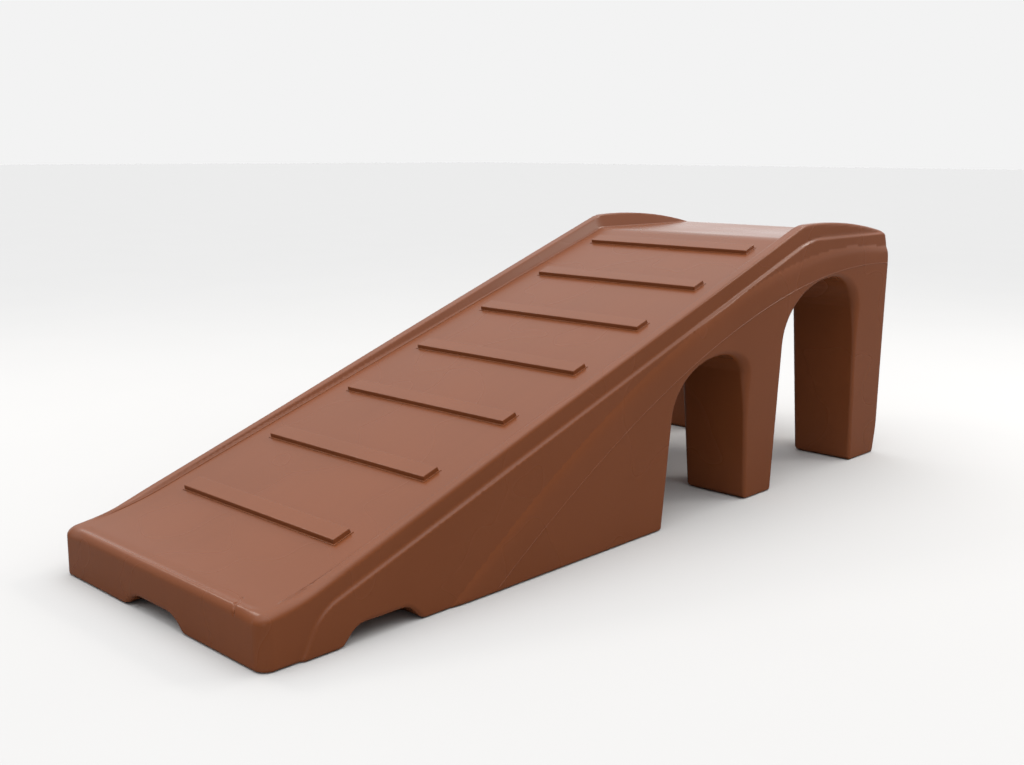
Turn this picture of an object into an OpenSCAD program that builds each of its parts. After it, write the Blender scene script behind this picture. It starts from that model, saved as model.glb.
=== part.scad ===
// Pet ramp: a hollow moulded body in two shells, with seven tread bars, eight foot pads and a vent plug.
// +Y runs up the ramp, +Z is up, and the origin is on the floor at the middle of the footprint.
// Side profiles are drawn in [distance behind the nose, height above the floor].

/* [Body] */
// Length from the nose to the rear wall
ramp_l = 1374; // [1364:1:1384]
// Width over the side walls
ramp_w = 467; // [460:1:476]
// Height of the top platform
platform_h = 411; // [408:1:414]
// Height of the nose's front edge
nose_h = 65; // [62:1:70]
// Thickness of the moulded wall
wall_t = 4.5; // [3.5:0.5:5]

/* [Deck] */
// Distance from the nose to the start of the slope
apron_l = 84; // [80:1:88]
// Height of the deck where the slope starts
apron_h = 76; // [74:1:78]
// Slope of the deck in degrees
deck_slope = 18.8; // [18.5:0.1:19.1]
// Half width of the deck between the feet of the curbs
deck_half_w = 199; // [190:1:203]

/* [Curbs] */
// Half width between the curbs' top inner edges
curb_top_half_w = 208; // [204:1:212]
// Half width over the curbs, which stand in from the side walls
band_half_w = 227; // [224:1:229]
// Height of the curb over the deck where the slope ends
curb_rise = 20; // [16:1:24]
// Height of the band between the curb's top and the ledge of the side wall
ledge_drop = 27; // [24:1:30]

/* [Tread bars] */
// Number of tread bars
tread_count = 7; // [7:1:7]
// Length of a bar across the deck
tread_l = 330; // [300:1:360]
// Breadth of a bar up the slope
tread_w = 28; // [24:1:32]
// Height of a bar above the deck
tread_h = 6.5; // [4:0.5:9]
// Distance between bars up the slope
tread_pitch = 150; // [145:1:152]

/* [Arches and legs] */
// Where the front arch starts and ends at the floor
arch_1_foot = [702, 922]; // [694:1:929]
// Height of the front arch
arch_1_h = 246; // [238:1:248]
// Where the rear arch starts and ends at the floor
arch_2_foot = [1003, 1268]; // [994:1:1274]
// Height of the rear arch
arch_2_h = 342; // [334:1:343]
// Half width at the floor of the tunnel between the legs
tunnel_half_w = 115; // [105:1:120]

/* [Hand notches] */
// Width and height of the notch under the nose
nose_notch = [128, 17]; // [12:1:140]
// Length and height of the notch under each side wall
side_notch = [118, 21]; // [12:1:130]
// Depth of a notch inwards
notch_depth = 42; // [30:1:48]

/* [Foot pads] */
// Size of a pad across and along the ramp
pad_size = [80, 60]; // [40:1:84]
// Thickness of a pad
pad_t = 3.5; // [3:0.5:4]
// How far a pad stands out under the body
pad_proud = 1; // [0.5:0.5:2]

/* [Hidden] */
SIDES = [["left", -1], ["right", 1]];
PADS = [["nose", 64, 130], ["wedge", 649, 165], ["mid", 962, 170], ["rear", 1316, 170]];

body_colour = "sienna";
bar_colour = "peru";
pad_colour = "dimgray";

past = 20;                     // how far a cutter runs past what it cuts
top_z = platform_h + 60;       // above everything
floor_z = pad_proud;           // underside of the body
half_w = ramp_w / 2;
deck_end = apron_l + (platform_h - apron_h) / tan(deck_slope);

nose_corner_r = 17;
rear_corner_r = 14;
nose_top_r = 8;
edge_r = 5;
rear_bend_r = [60, 40];        // of the rear wall's bends, lower and upper
rear_bend_z = [floor_z + 58, platform_h - 56];
rear_foot_in = 9;              // how far the rear wall draws in at the floor
rear_top_in = 13;              // and at the platform

curb_slope = 19.6;             // a little steeper than the deck, so that the curb grows out of the apron
apron_rise = (apron_h - nose_h) / apron_l;
curb_start = (nose_h - platform_h - curb_rise + deck_end * tan(curb_slope)) / (tan(curb_slope) - apron_rise);
hump_y = deck_end + 66;        // highest point of the curb's hump
hump_r = 1044;
hump_z = platform_h + curb_rise + 5;
hump_from = deck_end + 10;
hump_end = ramp_l - rear_top_in + 5;

ledge_foot = 51;               // where the ledge's front edge meets the floor
ledge_knee = [79, 51];
ledge_rear_in = 1;             // how far the ledge stops short of the rear wall
ledge_rear_bevel = [7, 54];
tread_first = 66;              // up the slope, to the lowest bar's front edge
tread_seat = 1;                // depth of a bar's seat in the deck
tread_flange = [1.8, 1.2];     // overhang and thickness of a bar's base flange
tread_bevel = 0.8;

seam_foot = 344;               // where the seam meets the floor
seam_top = [1294, 357];
seam_bend = 1.92;
tongue_t = 2;
tongue_h = 9;

arch_1_spring = [160, 205];    // heights where the jambs turn into the arch's head
arch_1_jamb = [718, 909];      // and the jambs' places there
arch_1_crown = 836;
arch_2_spring = [240, 275];
arch_2_jamb = [1017, 1255];
arch_2_crown = 1170;
tunnel_draft = 15;             // how far each tunnel wall leans in up to the roof
tunnel_break_1 = [48, 4];      // where its roof bends, from the crown of the front arch
tunnel_break_2 = [-116, -24];  // and from the crown of the rear arch

notch_side_y = 167;            // middle of the side notches
notch_slope = 20;              // how far a notch's ends lean in up to its roof
pad_rib = [12, 2, 1];          // pitch, width and depth of the pads' grooves
pad_corner_r = 10;
pad_back = [2, 0.5];           // how far the wall behind a pad reaches past it, and its start
plug_y = 524;
plug_r = 10;
plug_head = [15, 3];
plug_cup = [22, 10];
plug_gap = 0.1;
plug_recess = 0.5;
plug_slot = [16, 2, 1];

// The line along which the two shells meet: upright at the floor, level under the platform.
seam = concat(
    [[seam_foot, -past]],
    [for (i = [0:18]) let (u = 1 - i / 18)
        [seam_top[0] - u * (seam_top[0] - seam_foot), seam_top[1] * (1 - pow(u, seam_bend))]],
    [[ramp_l + past, seam_top[1]]]
);

function unit(v) = v / norm(v);
function turned(v) = [-v[1], v[0]];

// A corner at p between a and b, rounded to radius r.
function corner(p, a, b, r, n = 6) = r == 0 ? [p] :
    let (u = unit(a - p), v = unit(b - p), half = acos(u * v) / 2,
         c = p + unit(u + v) * r / sin(half),
         s = p + u * r / tan(half) - c,
         e = p + v * r / tan(half) - c,
         from = atan2(s[1], s[0]),
         sweep = (atan2(e[1], e[0]) - from + 540) % 360 - 180)
    [for (i = [0:n]) c + r * [cos(from + sweep * i / n), sin(from + sweep * i / n)]];

// Points with a radius each, [y, z, r], as an outline.
function rounded(pts) = let (k = len(pts), at = function (i) [pts[i % k][0], pts[i % k][1]])
    [for (i = [0:k - 1]) each corner(at(i), at(i + k - 1), at(i + 1), pts[i][2])];

// A counter-clockwise outline moved inwards by t.
function inset(pts, t) = let (k = len(pts))
    [for (i = [0:k - 1])
        let (u = turned(unit(pts[i] - pts[(i + k - 1) % k])), v = turned(unit(pts[(i + 1) % k] - pts[i])))
        pts[i] + (u + v) / (1 + u * v) * t];

// A quarter of an ellipse about c with half axes a, swept between two angles.
function quarter(c, a, from, to, n = 10) =
    [for (i = [0:n]) let (w = from + (to - from) * i / n) c + [a[0] * cos(w), a[1] * sin(w)]];

function hump(y) = hump_z - pow(y - hump_y, 2) / (2 * hump_r);

// Side profile of the body with its curbs.
function body_profile() = let (
    nose_foot = [0, floor_z],
    nose_top = [0, nose_h],
    apron_end = [curb_start, nose_h + curb_start * apron_rise],
    rear_foot = [ramp_l - rear_foot_in, floor_z],
    rear_low = [ramp_l, rear_bend_z[0]],
    rear_high = [ramp_l, rear_bend_z[1]],
    rear_top = [hump_end, hump(hump_end)]
) concat(
    corner(nose_foot, nose_top, rear_foot, edge_r),
    corner(rear_foot, nose_foot, rear_low, edge_r),
    corner(rear_low, rear_foot, rear_high, rear_bend_r[0]),
    corner(rear_high, rear_low, rear_top, rear_bend_r[1]),
    [for (i = [0:8]) let (y = hump_end + (hump_from - hump_end) * i / 8) [y, hump(y)]],
    [apron_end],
    corner(nose_top, apron_end, nose_foot, nose_top_r)
);

// Side profile of the thicker part of the side walls, below the ledge.
function ledge_profile() = let (
    rear = ramp_l - ledge_rear_in,
    top = platform_h + curb_rise - ledge_drop
) [
    [ledge_foot, floor_z], [ramp_l - rear_foot_in - edge_r, floor_z], [rear, rear_bend_z[0]],
    [rear, rear_bend_z[1]], [rear - ledge_rear_bevel[0], rear_bend_z[1] + ledge_rear_bevel[1]],
    [hump_y, top + ledge_drop / 4], [deck_end, top], ledge_knee
];

// Everything above the deck's surface and behind the apron.
function above_deck(t) = [
    [apron_l, apron_h - t / cos(deck_slope)], [deck_end, platform_h - t], [ramp_l + past, platform_h - t],
    [ramp_l + past, top_z], [apron_l - t / 2, top_z]
];

function arch_profile(foot, jamb, spring, crown, h, t) = concat(
    [[foot[0] - t, -past]],
    quarter([crown, spring[0]], [crown - jamb[0] + t, h - spring[0] + t], 180, 90),
    quarter([crown, spring[1]], [jamb[1] - crown + t, h - spring[1] + t], 90, 0),
    [[foot[1] + t, -past]]
);

function tunnel_profile(t) = concat(
    [[arch_1_foot[0] - t, -past]],
    quarter([arch_1_crown, arch_1_spring[0]],
            [arch_1_crown - arch_1_jamb[0] + t, arch_1_h - arch_1_spring[0] + t], 180, 90),
    [[arch_1_crown, arch_1_h + t] + tunnel_break_1, [arch_2_crown, arch_2_h + t] + tunnel_break_2,
     [arch_2_crown, arch_2_h + t], [ramp_l + past, arch_2_h + t], [ramp_l + past, -past]]
);

// A side profile made as wide as the ramp.
module across(pts, half) {
    rotate([90, 0, 90]) linear_extrude(2 * half, center = true) polygon(pts);
}

// A front profile in [x, z] run along the ramp.
module along(pts, from, to) {
    translate([0, to, 0]) rotate([90, 0, 0]) linear_extrude(to - from) polygon(pts);
}

// Plan outline with its rounded corners.
module plan(half, t) {
    corners = [[-half + t, t, nose_corner_r - t], [half - t, t, nose_corner_r - t],
               [half - t, ramp_l - t, rear_corner_r - t], [-half + t, ramp_l - t, rear_corner_r - t]];
    linear_extrude(top_z) polygon(rounded(corners));
}

// The walled channel of a stretch of deck: its section, widening upwards, above z = -t.
module channel(length, t) {
    rise = curb_rise + 40;
    lean = (curb_top_half_w - deck_half_w) / curb_rise;
    section = [[-deck_half_w + lean * past - t, -past], [deck_half_w - lean * past + t, -past],
               [deck_half_w + lean * rise + t, rise], [-deck_half_w - lean * rise - t, rise]];
    along(section, -past, length + past);
}

module deck_space(t) {
    intersection() {
        across(above_deck(t), half_w);
        union() {
            translate([0, apron_l, apron_h]) rotate([deck_slope, 0, 0])
                channel((deck_end - apron_l) / cos(deck_slope), t);
            translate([0, deck_end - past, platform_h]) channel(ramp_l - deck_end + 2 * past, t);
        }
    }
}

// A hand notch under an edge: the mouth is on x = 0 and the notch runs towards +x.
module notch(size, t) {
    profile = [[-size[0] / 2 - t, -past], [size[0] / 2 + t, -past], [size[0] / 2 + t, 0],
               [size[0] / 2 - notch_slope + t, floor_z + size[1] + t],
               [-size[0] / 2 + notch_slope - t, floor_z + size[1] + t], [-size[0] / 2 - t, 0]];
    translate([-past, 0, 0]) rotate([90, 0, 90]) linear_extrude(past + notch_depth + t) polygon(profile);
}

module notches(t) {
    rotate([0, 0, 90]) notch(nose_notch, t);
    for (s = [0, 1]) mirror([s, 0, 0])
        translate([-half_w, notch_side_y, 0]) notch(side_notch, t);
}

module leg_spaces(t) {
    across(arch_profile(arch_1_foot, arch_1_jamb, arch_1_spring, arch_1_crown, arch_1_h, t), half_w + past);
    across(arch_profile(arch_2_foot, arch_2_jamb, arch_2_spring, arch_2_crown, arch_2_h, t), half_w + past);
    intersection() {
        across(tunnel_profile(t), half_w);
        along([[-tunnel_half_w - t, 0], [tunnel_half_w + t, 0],
               [tunnel_half_w - tunnel_draft + t, arch_2_h + past],
               [-tunnel_half_w + tunnel_draft - t, arch_2_h + past]], 0, ramp_l + 2 * past);
    }
}

// The whole outer form of the body, moved inwards by t.
module form(t) {
    difference() {
        union() {
            intersection() {
                across(inset(body_profile(), t), band_half_w - t);
                plan(band_half_w, t);
            }
            intersection() {
                across(inset(ledge_profile(), t), half_w - t);
                plan(half_w, t);
            }
        }
        deck_space(t);
        notches(t);
        leg_spaces(t);
    }
}

module above_seam() {
    across(concat([[-past, -past]], seam, [[ramp_l + past, top_z], [-past, top_z]]), half_w + past);
}

// The band on both sides of the seam.
module seam_band() {
    k = len(seam);
    way = [for (i = [0:k - 1]) turned(unit(seam[min(i + 1, k - 1)] - seam[max(i - 1, 0)]))];
    across(concat([for (i = [0:k - 1]) seam[i] - way[i] * tongue_h],
                  [for (i = [k - 1:-1:0]) seam[i] + way[i] * tongue_h]), half_w);
}

// A strip inside the walls that both shells are bonded to, along the sides, the rear and the underside.
module tongue() {
    inner_w = half_w - wall_t;
    clear = 2 * rear_corner_r;
    intersection() {
        seam_band();
        union() {
            for (x = [-inner_w, inner_w - tongue_t])
                translate([x, clear, floor_z + wall_t]) cube([tongue_t, ramp_l - 2 * clear, top_z]);
            translate([-inner_w + clear, ramp_l - wall_t - tongue_t, floor_z + wall_t])
                cube([2 * (inner_w - clear), tongue_t, top_z]);
            translate([-inner_w + clear, clear, floor_z + wall_t])
                cube([2 * (inner_w - clear), ramp_l / 2, tongue_t]);
        }
    }
}

// Places things on the deck's slope, with z = 0 on its surface and y up the slope.
module on_slope(up) {
    translate([0, apron_l, apron_h]) rotate([deck_slope, 0, 0]) translate([0, up, 0]) children();
}

module at_pad(p, side) {
    translate([side * p[2], p[1], 0]) children();
}

module pad_block(grow, z0, z1) {
    x = pad_size[0] / 2 + grow;
    y = pad_size[1] / 2 + grow;
    r = pad_corner_r;
    translate([0, 0, z0]) linear_extrude(z1 - z0)
        polygon(rounded([[-x, -y, r], [x, -y, r], [x, y, r], [-x, y, r]]));
}

// What both shells lose: the seats of the bars and of the pads.
module seats() {
    for (i = [1:tread_count]) on_slope(tread_first + (i - 1) * tread_pitch)
        translate([-tread_l / 2, 0, -tread_seat]) cube([tread_l, tread_w, tread_seat + past]);
    for (p = PADS, s = SIDES) at_pad(p, s[1]) pad_block(0, -past, pad_t);
}

module moulded_wall() {
    difference() {
        form(0);
        form(wall_t);
        seats();
    }
}

module pad_backs() {
    for (p = PADS, s = SIDES) at_pad(p, s[1]) pad_block(pad_back[0], floor_z + pad_back[1], floor_z + pad_t + 2);
}

// Upper shell: nose, deck, platform, curbs and the side walls down to the seam.
module deck_shell() {
    color(body_colour) translate([0, -ramp_l / 2, 0]) difference() {
        intersection() {
            union() {
                moulded_wall();
                pad_backs();
            }
            above_seam();
        }
        seats();
    }
}

// Lower shell: side walls under the seam, underside, arches, legs and the tongue inside the seam.
module base_shell() {
    color(body_colour) translate([0, -ramp_l / 2, 0]) difference() {
        union() {
            difference() {
                union() {
                    moulded_wall();
                    pad_backs();
                    translate([0, plug_y, floor_z]) cylinder(r = plug_cup[0], h = plug_cup[1], $fn = 64);
                }
                above_seam();
            }
            tongue();
        }
        seats();
        translate([0, plug_y, -past]) cylinder(r = plug_r, h = 2 * past, $fn = 64);
        translate([0, plug_y, -past]) cylinder(r = plug_head[0] + 0.5, h = past + floor_z + plug_head[1], $fn = 64);
    }
}

// One tread bar, counted from the lowest.
module tread_bar(i) {
    out = tread_flange[0];
    x = tread_l / 2;
    bar = [[0, -tread_seat], [tread_w, -tread_seat], [tread_w, tread_h - tread_bevel],
           [tread_w - tread_bevel, tread_h], [tread_bevel, tread_h], [0, tread_h - tread_bevel]];
    color(bar_colour) translate([0, -ramp_l / 2, 0]) on_slope(tread_first + (i - 1) * tread_pitch) union() {
        intersection() {
            across(bar, x);
            along([[-x, -past], [x, -past], [x, tread_h - tread_bevel], [x - tread_bevel, tread_h],
                   [-x + tread_bevel, tread_h], [-x, tread_h - tread_bevel]], -past, tread_w + past);
        }
        translate([-x - out, -out, 0]) cube([tread_l + 2 * out, tread_w + 2 * out, tread_flange[1]]);
    }
}

// One ribbed rubber pad, in its seat.
module foot_pad(p, side) {
    color(pad_colour) translate([0, -ramp_l / 2, 0]) at_pad(p, side) difference() {
        pad_block(0, 0, pad_t);
        for (i = [-2:2]) translate([i * pad_rib[0] - pad_rib[1] / 2, -pad_size[1], -past])
            cube([pad_rib[1], 2 * pad_size[1], past + pad_rib[2]]);
    }
}

// Plug of the vent hole, with its head in a counterbore.
module vent_plug() {
    color(pad_colour) translate([0, plug_y - ramp_l / 2, floor_z]) difference() {
        union() {
            translate([0, 0, plug_recess]) cylinder(r = plug_head[0], h = plug_head[1] - plug_recess, $fn = 64);
            translate([0, 0, plug_recess]) cylinder(r = plug_r - plug_gap, h = plug_cup[1] + 2, $fn = 64);
        }
        translate([-plug_slot[0] / 2, -plug_slot[1] / 2, 0])
            cube([plug_slot[0], plug_slot[1], plug_recess + plug_slot[2]]);
    }
}

deck_shell();
base_shell();
vent_plug();
for (i = [1:tread_count]) tread_bar(i);
for (p = PADS, s = SIDES) foot_pad(p, s[1]);
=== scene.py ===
"""Pet ramp: a soft-edged moulded body in two shells, crisp tread bars, rubber pads and a vent plug.

The body's skin is one smooth distance field, meshed on a fine grid and split into the two shells along
the seam. Until a mesh is made, lengths are in millimetres, x is across, z is up from the floor, and y runs
back from a line just behind the nose's front edge."""
import math

import bmesh
import bpy
import numpy as np
from mathutils import Matrix, Vector


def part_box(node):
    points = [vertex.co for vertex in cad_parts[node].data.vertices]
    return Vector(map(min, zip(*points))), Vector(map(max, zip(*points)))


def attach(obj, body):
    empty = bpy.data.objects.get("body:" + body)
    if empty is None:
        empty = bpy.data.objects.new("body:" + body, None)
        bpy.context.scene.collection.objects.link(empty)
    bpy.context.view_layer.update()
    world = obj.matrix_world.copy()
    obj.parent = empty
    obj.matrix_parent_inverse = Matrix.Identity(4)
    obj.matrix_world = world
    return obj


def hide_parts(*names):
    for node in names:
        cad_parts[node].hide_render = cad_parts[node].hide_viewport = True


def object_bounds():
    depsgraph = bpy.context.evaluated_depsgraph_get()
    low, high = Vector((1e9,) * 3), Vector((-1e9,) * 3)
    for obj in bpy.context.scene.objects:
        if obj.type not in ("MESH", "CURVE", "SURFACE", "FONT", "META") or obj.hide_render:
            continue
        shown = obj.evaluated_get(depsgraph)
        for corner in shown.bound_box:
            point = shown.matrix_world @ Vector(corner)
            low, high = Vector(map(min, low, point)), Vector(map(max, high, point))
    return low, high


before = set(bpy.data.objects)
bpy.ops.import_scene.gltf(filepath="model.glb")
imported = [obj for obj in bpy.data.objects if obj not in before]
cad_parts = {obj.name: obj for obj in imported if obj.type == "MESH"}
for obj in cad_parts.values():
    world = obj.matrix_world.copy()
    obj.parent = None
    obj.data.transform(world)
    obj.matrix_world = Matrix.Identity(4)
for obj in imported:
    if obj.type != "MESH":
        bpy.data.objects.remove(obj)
cad_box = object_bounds()

MM = 0.001
NOSE_FRONT = -4.0
ORIGIN_Y = cad_box[0][1] / MM - NOSE_FRONT
REAR = (cad_box[1][1] - cad_box[0][1]) / MM + NOSE_FRONT
HALF_W = cad_box[1][0] / MM
PAD_PROUD = 1.0

# Deck: the apron behind the nose, the slope and the platform, with the bends between them
PLATFORM_H = 411.0
NOSE_H = 64.5
APRON_START, APRON_L, APRON_H = 4.0, 80.0, 76.0
SLOPE = math.radians(18.8)
DECK_END = APRON_L + (PLATFORM_H - APRON_H) / math.tan(SLOPE)
DECK_HALF_W = 199.5
APRON_BEND, PLATFORM_BEND = 10, 5

# Trim: the bead along the front edge, the groove behind it, and the ridge at the foot of each curb
LIP_RISE, LIP_Y, LIP_WIDTH = 1.3, 3, 4.5
LIP_GROOVE, GROOVE_Y, GROOVE_WIDTH = 0.9, 12, 5
LIP_END, LIP_FADE = 180, 25
RIDGE, RIDGE_OUT, RIDGE_WIDTH = 2.1, 1, 1.7
RIDGE_START, RIDGE_START_FADE = 25, 20
RIDGE_END, RIDGE_END_FADE = 900, 500

# Curbs, and the band under them that stands in from the side wall
CURB_LEAN = 0.5
CURB_RISE = 19.5
CURB_SLOPE = 0.356
CURB_EDGE_R, CURB_FOOT_R = 1.8, 1.4
CURB_FOOT_MIN_R, CURB_FOOT_SHARE = 0.3, 0.7
CURB_PEAK_BEND = 4
CURB_SUNK, CURB_END_BEND = 2, 3
HUMP_R = 1044.0
HUMP_Y, HUMP_H = 1130.0, 435.5
BAND_HALF_W, BAND_DRAFT = HALF_W - 6.5, 0.018
LEDGE_DROP = 31.5
LEDGE_EDGE_R, LEDGE_COVE_R = 1.9, 5.0
LEDGE_FOOT = 47.0
LEDGE_KNEE = (75.0, 50.5)
LEDGE_KNEE_R, LEDGE_TOP_R = 14, 10
LEDGE_TOP_RISE = 10

# Curves along the side wall: where each meets the floor, its highest point and how it bends
SEAM = (340.0, 1290.0, 357.0, 1.92)
CREASE = (265.0, 1225.0, 392.0, 1.85)
CURVE_DROP, CURVE_DROP_RUN = 3, 80
CREASE_MIN_GAP = 12
FLARE, DRAFT = 3.4, 0.015
FLARE_POWER = 6

# Rear wall, which draws in at the heel and under the platform's edge
HEEL_H, HEEL_IN, HEEL_POWER = 62, 9, 1.6
BROW_H, BROW_IN = 60, 14

# Arches: jambs at the floor, heights of the springs, jambs there, crown and its height
ARCH_1 = ((698.0, 918.0), (160.0, 205.0), (714.0, 905.0), 832.0, 246.0)
ARCH_2 = ((999.0, 1264.0), (240.0, 275.0), (1013.0, 1251.0), 1166.0, 342.0)
TUNNEL_HALF_W = 115.0
TUNNEL_DRAFT, TUNNEL_DRAFT_TOP = 15.0 / 362.0, 400
TUNNEL_BELOW_ARCH = 6.0
BELOW_FLOOR = -60.0

# Spots of the side profile where the arches' edges are rounder, by how much
SOFT_SPOTS = (((905, 215), 45), ((1250, 300), 50))
SOFT_SPOT_R = 10

# Hand notches: length at the floor, height, and how far each end leans in
NOSE_NOTCH = (128.0, 17.0, 20.0)
SIDE_NOTCH = (118.0, 21.0, 20.0)
SIDE_NOTCH_Y = 163.0
NOTCH_DEPTH = 42.0
NOTCH_R, NOTCH_END_R = 5.0, 7.0

# Slanting groove across the lip near its right end
NICK = ((161.0, 17.0, 66.6), (171.0, 1.0, 65.6), (174.5, -3.4, 61.0), (175.0, -4.0, 57.0))
NICK_R, NICK_EDGE_R = 1.7, 0.6

# Rounding radii
NOSE_CORNER_R, REAR_CORNER_R = 17.0, 14.0
EDGE_R, SIDE_SOFTER, CORNER_SOFTER, LIP_R = 4.2, 3.3, 4.5, 7.5
FOOT_R, ARCH_R, LEG_R, ROOF_R = 3.0, 7.0, 9.0, 24.0
SIDE_SOFT_END, SIDE_SOFT_FADE = 620, 520
CORNER_SOFT_END, CORNER_SOFT_FADE = 125, 100
LIP_R_END, LIP_R_FADE = 165, 45

# Fine raised lines: the seam's sits this far in, the deck's this far inside the curb's foot
BEAD_R = 0.9
BEAD_SIDES, BEAD_STEPS = 8, 160
SEAM_BEAD_IN, SEAM_BEAD_START = 0.35, 4
DECK_BEAD_IN, DECK_BEAD_UP, DECK_BEAD_SUNK = 2.5, 0.15, 1.1
DECK_BEAD_START, DECK_BEAD_FADE, DECK_BEAD_END = 30, 40, 10


# ---------------------------------------------------------------- distance field of the body

def join(a, b, r):
    """Union of two distances with a circular fillet of radius r."""
    return np.maximum(r, np.minimum(a, b)) - np.hypot(np.maximum(r - a, 0), np.maximum(r - b, 0))


def common(a, b, r):
    """Intersection of two distances with its edge rounded to radius r."""
    return -join(-a, -b, r)


def soft_min(a, b, k):
    """The lower of two heights, blended where they are within k of each other."""
    return np.minimum(a, b) - np.maximum(k - np.abs(a - b), 0) ** 2 / (4 * k)


def soft_max(a, b, k):
    return -soft_min(-a, -b, k)


def ramp01(t):
    """0 to 1 with level ends."""
    t = np.clip(t, 0, 1)
    return t * t * (3 - 2 * t)


def swell(y, z, at, width):
    """A smooth spot of height 1 at a point of the side profile."""
    return np.exp(-((y - at[0]) ** 2 + (z - at[1]) ** 2) / width ** 2)


def sweep(y, curve):
    """Height of one of the side wall's curves."""
    foot, top_y, top_z, bend = curve
    u = np.maximum(top_y - y, 0) / (top_y - foot)
    return top_z * (1 - u ** bend) - CURVE_DROP * (np.maximum(y - top_y, 0) / CURVE_DROP_RUN) ** 2


def quarter(centre, axes, start, end, steps=14):
    """Points of a quarter ellipse."""
    turns = np.radians(np.linspace(start, end, steps))
    return [(centre[0] + axes[0] * math.cos(t), centre[1] + axes[1] * math.sin(t)) for t in turns]


def outline_distance(points, y, z):
    """Signed distance from (y, z) to a closed outline, negative inside."""
    best, sign = np.inf, 1.0
    for (y0, z0), (y1, z1) in zip(points, points[1:] + points[:1]):
        ey, ez, wy, wz = y1 - y0, z1 - z0, y - y0, z - z0
        t = np.clip((wy * ey + wz * ez) / (ey * ey + ez * ez), 0, 1)
        best = np.minimum(best, (wy - ey * t) ** 2 + (wz - ez * t) ** 2)
        up, down, left = z >= z0, z < z1, ey * wz > ez * wy
        sign = np.where((up & down & left) | ~(up | down | left), -sign, sign)
    return sign * np.sqrt(best)


def arch_outline(foot, spring, jamb, crown, height):
    left = quarter((crown, spring[0]), (crown - jamb[0], height - spring[0]), 180, 90)
    right = quarter((crown, spring[1]), (jamb[1] - crown, height - spring[1]), 90, 0)
    under = [(foot[1] + 1, BELOW_FLOOR), (foot[0] - 1, BELOW_FLOOR)]
    return [(foot[0], 0.0)] + left + right[1:] + [(foot[1], 0.0)] + under


def tunnel_outline():
    """Side profile of the passage between the legs, a little inside the arches where it meets them."""
    front, back = ARCH_1[3] - 60, REAR + 80
    head_1 = ARCH_1[4] - TUNNEL_BELOW_ARCH
    head_2 = ARCH_2[4] - TUNNEL_BELOW_ARCH
    return [(front, BELOW_FLOOR), (front, head_1), (ARCH_1[3] + 48, head_1 + 4),
            (ARCH_2[3] - 116, ARCH_2[4] - 24 - TUNNEL_BELOW_ARCH), (ARCH_2[3], head_2),
            (back, head_2), (back, BELOW_FLOOR)]


ARCHES = [arch_outline(*ARCH_1), arch_outline(*ARCH_2)]
TUNNEL = tunnel_outline()


def deck_height(y):
    apron = NOSE_H + (y - APRON_START) * (APRON_H - NOSE_H) / (APRON_L - APRON_START)
    slope = APRON_H + (y - APRON_L) * math.tan(SLOPE)
    return soft_min(soft_max(apron, slope, APRON_BEND), PLATFORM_H, PLATFORM_BEND)


def trim_height(ax, y):
    """Height of the trim over the deck."""
    ridge = RIDGE * np.exp(-((ax - curb_foot(y) - RIDGE_OUT) / RIDGE_WIDTH) ** 2)
    ridge = ridge * ramp01((y - RIDGE_START) / RIDGE_START_FADE) * ramp01((RIDGE_END - y) / RIDGE_END_FADE)
    lip = LIP_RISE * np.exp(-((y - LIP_Y) / LIP_WIDTH) ** 2)
    groove = LIP_GROOVE * np.exp(-((y - GROOVE_Y) / GROOVE_WIDTH) ** 2)
    return (lip - groove) * (1 - ramp01((ax - LIP_END) / LIP_FADE)) + ridge


def curb_height(y):
    """Height of the curbs' top, which leaves the deck behind the nose and sinks back into the platform."""
    line = PLATFORM_H + CURB_RISE + (y - DECK_END) * CURB_SLOPE
    hump = HUMP_H - (np.maximum(y, DECK_END) - HUMP_Y) ** 2 / (2 * HUMP_R)
    return soft_max(soft_min(line, hump, CURB_PEAK_BEND), deck_height(y) - CURB_SUNK, CURB_END_BEND)


def curb_foot(y):
    """Half width of the deck between the curbs' feet, which stand further apart where the curbs are low."""
    return DECK_HALF_W + CURB_LEAN * np.maximum(CURB_RISE - curb_height(y) + deck_height(y), 0)


def steepness(height, y):
    """Length along a height line for one millimetre of y."""
    return np.hypot(1, height(y + 0.5) - height(y - 0.5))


def top_distance(ax, y, z):
    """Distance over the deck and its curbs."""
    deck, curb = deck_height(y), curb_height(y)
    face = (curb_foot(y) - ax + CURB_LEAN * (z - deck)) / math.hypot(1, CURB_LEAN)
    rim = common((z - curb) / steepness(curb_height, y), face, CURB_EDGE_R)
    over_deck = (z - deck - trim_height(ax, y)) / steepness(deck_height, y)
    foot_r = np.clip(CURB_FOOT_SHARE * (curb - deck), CURB_FOOT_MIN_R, CURB_FOOT_R)
    return join(over_deck, rim, foot_r)


def ledge_distance(y, z):
    """Distance outside the thicker part of the side wall."""
    knee_y, knee_z = LEDGE_KNEE
    rise = PLATFORM_H + CURB_RISE - LEDGE_DROP - knee_z
    run = DECK_END - knee_y
    above = ((z - knee_z) * run - (y - knee_y) * rise) / math.hypot(rise, run)
    back = knee_y - LEDGE_FOOT
    before = ((knee_y - y) * knee_z - (knee_z - z) * back) / math.hypot(knee_z, back)
    level = z - (knee_z + rise + LEDGE_TOP_RISE)
    return common(common(above, before, LEDGE_KNEE_R), level, LEDGE_TOP_R)


def wall_half_width(y, z):
    """Half width between the side walls, which flare out below the crease and are widest at the seam."""
    seam = sweep(y, SEAM)
    crease = np.maximum(sweep(y, CREASE), seam + CREASE_MIN_GAP)
    over = np.clip((z - seam) / (crease - seam), 0, 1)
    flare = FLARE * (1 - over ** FLARE_POWER)
    return HALF_W - FLARE + flare - DRAFT * np.maximum(seam - z, 0)


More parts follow.
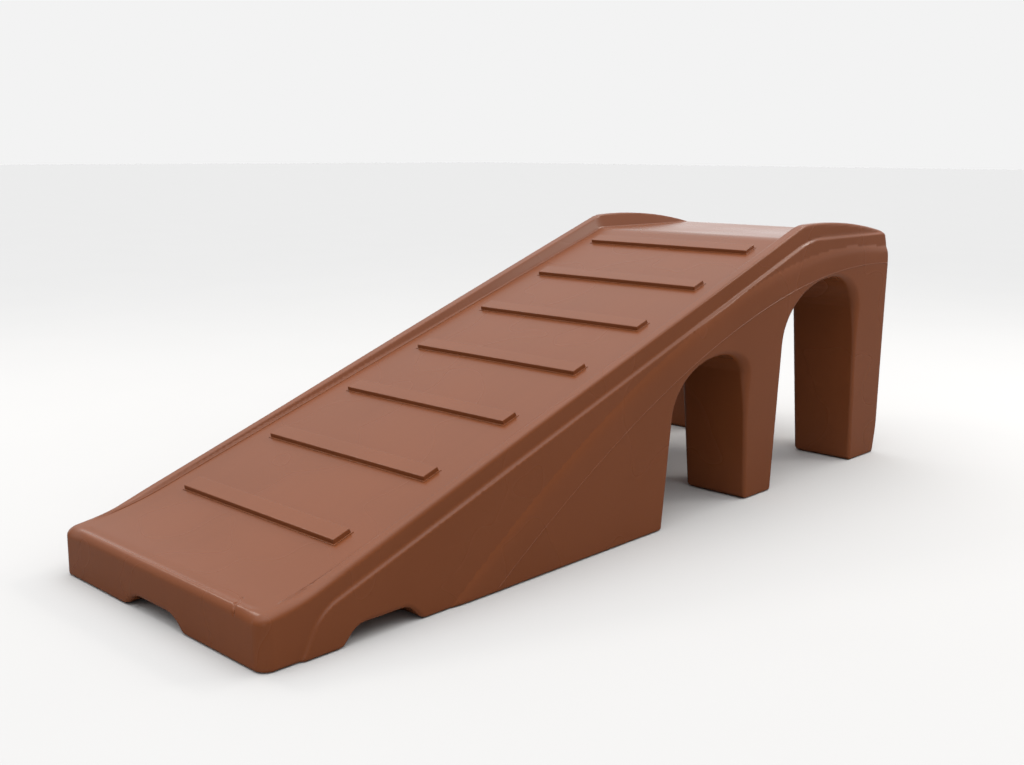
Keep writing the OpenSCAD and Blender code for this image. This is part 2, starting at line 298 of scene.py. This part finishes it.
def band_half_width(y, z):
    """Half width of the nose block and the bands under the curbs, which lean in above the seam."""
    return BAND_HALF_W - BAND_DRAFT * np.maximum(z - np.maximum(sweep(y, SEAM), 0), 0)


def edge_radius(ax, y):
    """Radius of the top edge: soft round the nose's corners, crisper up the ramp."""
    along = ramp01((SIDE_SOFT_END - y) / SIDE_SOFT_FADE)
    corner = ramp01((CORNER_SOFT_END - y) / CORNER_SOFT_FADE)
    side = EDGE_R + SIDE_SOFTER * along + CORNER_SOFTER * corner
    return LIP_R + (side - LIP_R) * ramp01((ax - LIP_R_END) / LIP_R_FADE)


def side_distance(ax, y, z):
    """Distance outside the side: the band under the curb, a cove, and the thicker wall below its ledge."""
    wall = common(ax - wall_half_width(y, z), ledge_distance(y, z), LEDGE_EDGE_R)
    return join(ax - band_half_width(y, z), wall, LEDGE_COVE_R)


def rear_place(z):
    """Where the rear wall stands at a height."""
    low = np.maximum(HEEL_H - z, 0) / HEEL_H
    high = np.maximum(z - (PLATFORM_H - BROW_H), 0) / BROW_H
    return REAR - HEEL_IN * low ** HEEL_POWER - BROW_IN * high ** 2


def notch_distance(along, inwards, z, size):
    """A hand notch with sloping ends: along the edge, inwards from the face, and up."""
    length, height, lean = size
    steep = math.hypot(1, lean / height)
    ends = (np.abs(along) - length / 2 + (z - PAD_PROUD) * lean / height) / steep
    profile = common(ends, z - PAD_PROUD - height, NOTCH_END_R)
    return common(profile, inwards - NOTCH_DEPTH, NOTCH_END_R)


def nick_distance(x, y, z):
    """The small slanting groove across the lip, as a string of segments."""
    best = np.inf
    for start, end in zip(NICK, NICK[1:]):
        along = [b - a for a, b in zip(start, end)]
        off = [p - a for p, a in zip((x, y, z), start)]
        t = np.clip(sum(o * e for o, e in zip(off, along)) / sum(e * e for e in along), 0, 1)
        best = np.minimum(best, sum((o - e * t) ** 2 for o, e in zip(off, along)))
    return np.sqrt(best) - NICK_R


def body_distance(x, y, z):
    """The body's field, negative inside. x, y and z broadcast together."""
    ax = np.abs(x)
    plan = common(side_distance(ax, y, z), NOSE_FRONT - y, NOSE_CORNER_R)
    plan = common(plan, y - rear_place(z), REAR_CORNER_R)
    body = common(plan, top_distance(ax, y, z), edge_radius(ax, y))
    body = common(body, PAD_PROUD - z, FOOT_R)

    arch = np.minimum(*[outline_distance(a, y, z) for a in ARCHES])
    walls = ax - (TUNNEL_HALF_W - np.clip(z, 0, TUNNEL_DRAFT_TOP) * TUNNEL_DRAFT)
    tunnel = common(walls, outline_distance(TUNNEL, y, z), ROOF_R)
    passage = join(arch + 0 * ax, tunnel, LEG_R)
    soft = ARCH_R + SOFT_SPOT_R * sum(swell(y, z, *spot) for spot in SOFT_SPOTS)
    body = common(body, -passage, soft)

    nose_notch = notch_distance(x, y, z, NOSE_NOTCH)
    side_notch = notch_distance(y - SIDE_NOTCH_Y, HALF_W - ax, z, SIDE_NOTCH)
    body = common(body, -np.minimum(nose_notch, side_notch), NOTCH_R)
    return common(body, -nick_distance(x, y, z), NICK_EDGE_R)


def seam_distance(x, y, z):
    """Positive in the upper shell."""
    return z - sweep(y, SEAM) + 0 * x


# ---------------------------------------------------------------- meshing the field

def lines(*spans):
    """Grid lines from (start, stop, step) spans."""
    return np.concatenate([np.arange(a, b - 1e-6, step) for a, b, step in spans])


def gradients(field, points):
    """The field and its gradient at points."""
    h = 0.02
    x, y, z = points.T
    slopes = [field(*(points + d).T) - field(*(points - d).T) for d in np.eye(3) * h]
    return field(x, y, z), np.stack(slopes, 1) / (2 * h)


def settled(points, fields, reach, steps=6, damping=1e-4):
    """Points moved onto the zero of every field, at most reach away from where they start."""
    start = points.copy()
    for _ in range(steps):
        f, g = zip(*[gradients(field, points) for field in fields])
        f, g = np.stack(f, 1), np.stack(g, 1)
        pull = g @ g.transpose(0, 2, 1) + damping * np.eye(len(fields))
        move = -np.einsum("nij,ni->nj", g, np.linalg.solve(pull, f[..., None])[..., 0])
        points = np.clip(points + move, start - reach, start + reach)
    return points


def make_grid():
    """Grid lines, finest near the edges and the side walls, and the body's field on them."""
    step = 3.6
    fine = 1.8
    half = lines((0, 96, 2 * step), (96, 126, step), (126, 156, 2 * step),
                 (156, 180, fine), (180, 190, step), (190, HALF_W + 8, fine))
    xs = np.concatenate([-half[:0:-1], half])
    ys = lines((NOSE_FRONT - 3, 27, fine), (27, REAR - 15, step), (REAR - 15, REAR + 8, fine))
    zs = lines((-5, 12, fine), (12, PLATFORM_H + 36, step))
    field = body_distance(half[:, None, None], ys[None, :, None], zs[None, None, :]).astype(np.float32)
    return (xs, ys, zs), np.concatenate([field[:0:-1], field])


def split_skin(grid, body, above):
    """Vertices, faces and corner normals of the body's upper or lower shell, as one closed skin."""
    xs, ys, zs = grid
    seam = seam_distance(0, ys[None, :, None], zs[None, None, :]) * (-1 if above else 1)
    inside = (body < 0) & (seam < 0)
    count = [len(a) - 1 for a in grid]

    def mixed(flags):
        corners = [flags[i:i + count[0] or None, j:j + count[1] or None, k:k + count[2] or None][
            :count[0], :count[1], :count[2]] for i in (0, 1) for j in (0, 1) for k in (0, 1)]
        total = sum(c.astype(np.int8) for c in corners)
        return (total > 0) & (total < 8)

    cells = mixed(inside)
    index = np.full(cells.shape, -1)
    index[cells] = np.arange(cells.sum())
    at = np.argwhere(cells)
    low = np.stack([a[at[:, n]] for n, a in enumerate(grid)], 1)
    high = np.stack([a[at[:, n] + 1] for n, a in enumerate(grid)], 1)
    points, reach = (low + high) / 2, (high - low) * 0.8
    on_body = mixed(body < 0)[cells]
    on_seam = mixed(np.broadcast_to(seam < 0, body.shape))[cells]
    for chosen, fields in ((on_body & ~on_seam, [body_distance]), (on_seam & ~on_body, [seam_distance]),
                           (on_seam & on_body, [body_distance, seam_distance])):
        points[chosen] = settled(points[chosen], fields, reach[chosen])

    faces, cut = [], []
    for axis in range(3):
        a, b = [slice(None)] * 3, [slice(None)] * 3
        a[axis], b[axis] = slice(None, -1), slice(1, None)
        change = np.argwhere(inside[tuple(a)] != inside[tuple(b)])
        u, v = (axis + 1) % 3, (axis + 2) % 3
        inner = (change[:, u] > 0) & (change[:, v] > 0)
        inner &= (change[:, u] < count[u]) & (change[:, v] < count[v])
        change = change[inner]
        ring = []
        for du, dv in ((-1, -1), (0, -1), (0, 0), (-1, 0)):
            cell = change.copy()
            cell[:, u] += du
            cell[:, v] += dv
            ring.append(index[tuple(cell.T)])
        quad = np.stack(ring, 1)
        first = inside[tuple(change.T)]
        quad[~first] = quad[~first][:, ::-1]
        outer = change.copy()
        outer[first, axis] += 1
        faces.append(quad)
        cut.append(body[tuple(outer.T)] < 0)
    faces, cut = np.concatenate(faces), np.concatenate(cut)

    skin_normals = gradients(body_distance, points)[1]
    cut_normals = gradients(seam_distance, points)[1] * (-1 if above else 1)
    normals = np.where(cut[:, None, None], cut_normals[faces], skin_normals[faces])
    return points, faces, normals / np.linalg.norm(normals, axis=2, keepdims=True)


def shell_piece(name, node, grid, body, above):
    points, faces, normals = split_skin(grid, body, above)
    mesh = bpy.data.meshes.new(name)
    mesh.from_pydata((points * MM + (0, ORIGIN_Y * MM, 0)).tolist(), [], faces.tolist())
    mesh.shade_smooth()
    mesh.normals_split_custom_set(normals.reshape(-1, 3).tolist())
    return add_piece(name, mesh, [node])


# ---------------------------------------------------------------- pieces

def add_piece(name, mesh, nodes):
    piece = bpy.data.objects.new(name, mesh)
    bpy.context.scene.collection.objects.link(piece)
    if nodes:
        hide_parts(*nodes)
    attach(piece, "root")
    return piece


TREAD_L, TREAD_W, TREAD_H, TREAD_SEAT = 330.0, 28.0, 6.5, 1.0
TREAD_DRAFT, TREAD_EDGE_R = 0.12, 1.3
FLANGE_OUT, FLANGE_H, FLANGE_SUNK, FLANGE_EDGE_R = 1.8, 0.9, 0.4, 0.5


def rounded_block(bm, low, high, bevel, segments, draft=0.0):
    """Adds a block between two corners to bm, narrowing upwards by the draft, with its edges rounded."""
    made = bmesh.ops.create_cube(bm, size=1)["verts"]
    size, middle = Vector(high) - Vector(low), (Vector(high) + Vector(low)) / 2
    bmesh.ops.scale(bm, vec=size, verts=made)
    for vert in made:
        if vert.co.z > 0:
            vert.co.x -= math.copysign(draft * size.z, vert.co.x)
            vert.co.y -= math.copysign(draft * size.z, vert.co.y)
    bmesh.ops.translate(bm, vec=middle, verts=made)
    edges = list({e for v in made for e in v.link_edges})
    bmesh.ops.bevel(bm, geom=edges, offset=bevel, segments=segments, profile=0.5, affect="EDGES")


def tread_bar(number):
    """A crisp bar on its thin base flange, in place of one of the CAD bars."""
    node = f"tread_bar_{number}"
    low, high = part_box(node)
    turn = math.cos(SLOPE) * MM
    place = Vector((0, high[1] - (TREAD_W + FLANGE_OUT) * turn, low[2] + TREAD_SEAT * turn))
    bm = bmesh.new()
    rounded_block(bm, (-TREAD_L / 2, 0, -TREAD_SEAT), (TREAD_L / 2, TREAD_W, TREAD_H),
                  TREAD_EDGE_R, 3, TREAD_DRAFT)
    rounded_block(bm, (-TREAD_L / 2 - FLANGE_OUT, -FLANGE_OUT, -FLANGE_SUNK),
                  (TREAD_L / 2 + FLANGE_OUT, TREAD_W + FLANGE_OUT, FLANGE_H), FLANGE_EDGE_R, 2)
    bm.transform(Matrix.Translation(place) @ Matrix.Rotation(SLOPE, 4, "X") @ Matrix.Scale(MM, 4))
    mesh = bpy.data.meshes.new(node + "_moulding")
    bm.to_mesh(mesh)
    bm.free()
    mesh.shade_smooth()
    piece = add_piece(node + "_moulding", mesh, [node])
    flat = piece.modifiers.new("crisp", "WEIGHTED_NORMAL")
    flat.keep_sharp = True
    return piece


def bead(name, xs, ys, zs):
    """A fine raised line, as a thin closed tube half sunk in the body."""
    turns = np.linspace(0, 2 * math.pi, BEAD_SIDES + 1)[:-1]
    section = [(math.cos(t) * BEAD_R, math.sin(t) * BEAD_R) for t in turns]
    bm = bmesh.new()
    rings = []
    for x, y, z in zip(xs, ys, zs):
        corners = [((x + a) * MM, (y + ORIGIN_Y) * MM, (z + b) * MM) for a, b in section]
        rings.append([bm.verts.new(corner) for corner in corners])
    for one, two in zip(rings, rings[1:]):
        for n in range(BEAD_SIDES):
            after = (n + 1) % BEAD_SIDES
            bm.faces.new((one[n], one[after], two[after], two[n]))
    bm.faces.new(rings[0])
    bm.faces.new(rings[-1])
    bmesh.ops.recalc_face_normals(bm, faces=bm.faces)
    mesh = bpy.data.meshes.new(name)
    bm.to_mesh(mesh)
    bm.free()
    mesh.shade_smooth()
    return add_piece(name, mesh, [])


def seam_bead(side, word):
    """The line along the seam on one side wall, ending on the rear wall's corner."""
    ys = np.linspace(SEAM[0] + SEAM_BEAD_START, REAR - REAR_CORNER_R, BEAD_STEPS)
    zs = sweep(ys, SEAM)
    return bead("seam_bead_" + word, side * (wall_half_width(ys, zs) - SEAM_BEAD_IN), ys, zs)


def deck_edge_bead(side, word):
    """The line along one edge of the sloped deck, which rises out of the apron."""
    ys = np.linspace(DECK_BEAD_START, DECK_END - DECK_BEAD_END, BEAD_STEPS)
    sunk = DECK_BEAD_SUNK * ramp01((DECK_BEAD_START + DECK_BEAD_FADE - ys) / DECK_BEAD_FADE)
    zs = deck_height(ys) + DECK_BEAD_UP - sunk
    return bead("deck_edge_bead_" + word, side * (curb_foot(ys) - DECK_BEAD_IN), ys, zs)


# ---------------------------------------------------------------- materials

class Nodes:
    """Short calls for building a node tree."""

    def __init__(self, tree):
        self.tree = tree
        self.shader = tree.nodes.get("Principled BSDF")

    def add(self, kind, **values):
        node = self.tree.nodes.new(kind)
        for key, value in values.items():
            if hasattr(node, key):
                setattr(node, key, value)
            else:
                node.inputs[key.replace("_", " ")].default_value = value
        return node

    def link(self, out, to):
        self.tree.links.new(out, to)

    def noise(self, coords, scale, detail=2.0, roughness=0.5):
        node = self.add("ShaderNodeTexNoise", Scale=scale, Detail=detail, Roughness=roughness)
        self.link(coords, node.inputs["Vector"])
        return node.outputs["Fac"]

    def scaled(self, coords, scale):
        node = self.add("ShaderNodeMapping", Scale=scale)
        self.link(coords, node.inputs["Vector"])
        return node.outputs["Vector"]

    def part(self, vector, along):
        """How far a vector reaches along a direction."""
        node = self.add("ShaderNodeVectorMath", operation="DOT_PRODUCT")
        self.link(vector, node.inputs[0])
        node.inputs[1].default_value = along
        return node.outputs["Value"]

    def levels(self, value, low, high, to_low, to_high):
        node = self.add("ShaderNodeMapRange")
        for key, number in (("From Min", low), ("From Max", high), ("To Min", to_low), ("To Max", to_high)):
            node.inputs[key].default_value = number
        self.link(value, node.inputs["Value"])
        return node.outputs["Result"]

    def power(self, value, exponent):
        node = self.add("ShaderNodeMath", operation="POWER", use_clamp=True)
        self.link(value, node.inputs[0])
        node.inputs[1].default_value = exponent
        return node.outputs["Value"]

    def mixed(self, factor, one, two):
        node = self.add("ShaderNodeMix", data_type="RGBA")
        self.link(factor, node.inputs["Factor"])
        for socket, colour in ((node.inputs[6], one), (node.inputs[7], two)):
            if isinstance(colour, tuple):
                socket.default_value = colour
            else:
                self.link(colour, socket)
        return node.outputs[2]

    def bump(self, height, distance, strength, normal=None):
        node = self.add("ShaderNodeBump", Strength=strength, Distance=distance)
        self.link(height, node.inputs["Height"])
        if normal is not None:
            self.link(normal, node.inputs["Normal"])
        return node.outputs["Normal"]


def new_material(name):
    material = bpy.data.materials.new(name)
    material.use_nodes = True
    return material, Nodes(material.node_tree)


def shade(base, factor):
    return tuple(c * factor for c in base) + (1.0,)


def moulded_plastic(name, base, rough):
    """Semi-gloss moulded plastic: faint mottling, streaks and grain, a shallow wave and a fine skin."""
    material, n = new_material(name)
    coords = n.add("ShaderNodeTexCoord").outputs["Object"]
    mottle = n.noise(coords, 7.0, 1.0, 0.4)
    streak = n.noise(n.scaled(coords, (60.0, 3.0, 8.0)), 1.0, 1.0, 0.4)
    fine = n.noise(coords, 500.0, 1.0)
    wave = n.noise(coords, 12.0, 0.0)
    grain = n.levels(n.noise(coords, 260.0, 2.0, 0.6), 0, 1, 0, 0.12)
    colour = n.mixed(mottle, shade(base, 0.88), shade(base, 1.08))
    colour = n.mixed(n.levels(streak, 0, 1, 0, 0.3), colour, shade(base, 1.15))
    colour = n.mixed(grain, colour, shade(base, 0.5))
    n.link(colour, n.shader.inputs["Base Color"])
    n.link(n.levels(mottle, 0, 1, rough - 0.06, rough + 0.06), n.shader.inputs["Roughness"])
    normal = n.bump(wave, 0.001, 0.2)
    normal = n.bump(fine, 0.0001, 0.05, normal)
    n.link(normal, n.shader.inputs["Normal"])
    n.shader.inputs["Specular IOR Level"].default_value = 0.22
    return material


def ribbed_rubber(name, base):
    material, n = new_material(name)
    coords = n.add("ShaderNodeTexCoord").outputs["Object"]
    dust = n.noise(coords, 40.0, 5.0, 0.65)
    grain = n.noise(coords, 2200.0, 3.0)
    colour = n.mixed(n.levels(dust, 0.45, 0.8, 0, 1), shade(base, 1.0), shade(base, 2.2))
    n.link(colour, n.shader.inputs["Base Color"])
    n.link(n.levels(dust, 0.3, 0.7, 0.72, 0.9), n.shader.inputs["Roughness"])
    n.link(n.bump(grain, 0.0003, 0.5), n.shader.inputs["Normal"])
    return material


def plain_stage(name, grey):
    material, n = new_material(name)
    coords = n.add("ShaderNodeTexCoord").outputs["Object"]
    seen = n.mixed(n.noise(coords, 3.0), shade((grey,) * 3, 0.99), shade((grey,) * 3, 1.01))
    glossy = n.add("ShaderNodeLightPath").outputs["Is Glossy Ray"]
    n.link(n.mixed(glossy, seen, shade((grey,) * 3, 0.3)), n.shader.inputs["Base Color"])
    n.shader.inputs["Roughness"].default_value = 0.9
    n.shader.inputs["Specular IOR Level"].default_value = 0.0
    return material


# ---------------------------------------------------------------- stage, light and camera

def make_floor():
    """A wide pale floor, darker in the object's reflections."""
    mesh = bpy.data.meshes.new("floor")
    far = 40.0
    mesh.from_pydata([(-far, -far, 0), (far, -far, 0), (far, far, 0), (-far, far, 0)], [], [(0, 1, 2, 3)])
    floor = bpy.data.objects.new("floor", mesh)
    bpy.context.scene.collection.objects.link(floor)
    mesh.materials.append(plain_stage("pale_floor", FLOOR_GREY))


def make_world():
    """A pale room: bright overhead, dimmer on the camera's side, plain white where the camera sees it."""
    world = bpy.data.worlds.new("studio")
    bpy.context.scene.world = world
    world.use_nodes = True
    n = Nodes(world.node_tree)
    direction = n.add("ShaderNodeTexCoord").outputs["Generated"]
    height = n.part(direction, (0, 0, 1))
    away = n.part(direction, (-0.69, 0.72, 0))
    horizon = n.levels(away, 0, 1, NEAR_LIGHT, FAR_LIGHT)
    low = n.power(n.levels(height, 0, 1, 1, 0), 2.0)
    sky = n.mixed(low, (MID_LIGHT,) * 3 + (1,), horizon)
    sky = n.mixed(n.power(height, 3.0), sky, (TOP_LIGHT,) * 3 + (1,))
    seen = n.mixed(n.add("ShaderNodeLightPath").outputs["Is Camera Ray"], sky, (PAPER,) * 3 + (1,))
    n.link(seen, n.tree.nodes["Background"].inputs["Color"])


def add_softbox(name, place, target, size, power, tint=(1, 1, 1)):
    light = bpy.data.lights.new(name, "AREA")
    light.shape = "RECTANGLE"
    light.size, light.size_y = size
    light.energy = power
    light.color = tint
    lamp = bpy.data.objects.new(name, light)
    lamp.location = place
    lamp.rotation_euler = (Vector(target) - Vector(place)).to_track_quat("-Z", "Y").to_euler()
    bpy.context.scene.collection.objects.link(lamp)


def make_camera():
    """Looks at the ramp from its low right corner, as in a catalogue view."""
    azimuth, elevation, roll = (math.radians(a) for a in (43.78, 11.11, 0.28))
    back = Vector((math.sin(azimuth) * math.cos(elevation), -math.cos(azimuth) * math.cos(elevation),
                   math.sin(elevation)))
    right = (-back).cross(Vector((0, 0, 1))).normalized()
    up = right.cross(-back)
    turned_right = math.cos(roll) * right + math.sin(roll) * up
    turned_up = -math.sin(roll) * right + math.cos(roll) * up
    camera = bpy.data.cameras.new("camera")
    camera.lens = 41.47
    camera.sensor_width = 36.0
    camera.clip_start, camera.clip_end = 0.05, 200
    thing = bpy.data.objects.new("camera", camera)
    thing.matrix_world = Matrix.Translation((1.2286, -1.3505, 0.5518)) @ Matrix(
        (turned_right, turned_up, back)).transposed().to_4x4()
    bpy.context.scene.collection.objects.link(thing)
    bpy.context.scene.camera = thing


# ---------------------------------------------------------------- the scene

# Light: overhead, half way up, low on the camera's side, low behind the object, and the background as seen
TOP_LIGHT, MID_LIGHT, NEAR_LIGHT, FAR_LIGHT, PAPER = 3.6, 0.33, 0.24, 1.5, 0.896
FLOOR_GREY = 0.50
WARM = (1.0, 0.94, 0.87)

make_camera()
make_world()
make_floor()
add_softbox("back_right_softbox", (1.43, 1.69, 1.6), (0, 0, 0.3), (0.6, 0.6), 10.0, WARM)
add_softbox("back_softbox", (0.5, 1.96, 2.2), (0, 0, 0.3), (0.8, 0.3), 12.0, WARM)
add_softbox("camera_side_softbox", (2.0, -2.25, 0.25), (0.22, -0.68, 0.04), (0.5, 0.4), 2.5)
add_softbox("left_softbox", (-1.8, -0.74, 1.9), (0, -0.68, 0.06), (0.6, 0.6), 10.0, WARM)
bpy.context.scene.view_settings.view_transform = "Standard"

plastic = moulded_plastic("shell_plastic", (0.165, 0.0485, 0.0165), 0.27)
bar_plastic = moulded_plastic("bar_plastic", (0.170, 0.0505, 0.0175), 0.24)
rubber = ribbed_rubber("pad_rubber", (0.02, 0.019, 0.018))

grid, body_field = make_grid()
shells = [shell_piece("deck_shell_moulding", "deck_shell", grid, body_field, True),
          shell_piece("base_shell_moulding", "base_shell", grid, body_field, False)]
sides = ((-1, "left"), (1, "right"))
beads = [make(side, word) for make in (seam_bead, deck_edge_bead) for side, word in sides]
for piece in shells + beads:
    piece.data.materials.append(plastic)
for number in range(1, 8):
    tread_bar(number).data.materials.append(bar_plastic)
for name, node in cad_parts.items():
    if name.startswith("foot_pad") or name == "vent_plug":
        node.data.materials.clear()
        node.data.materials.append(rubber)
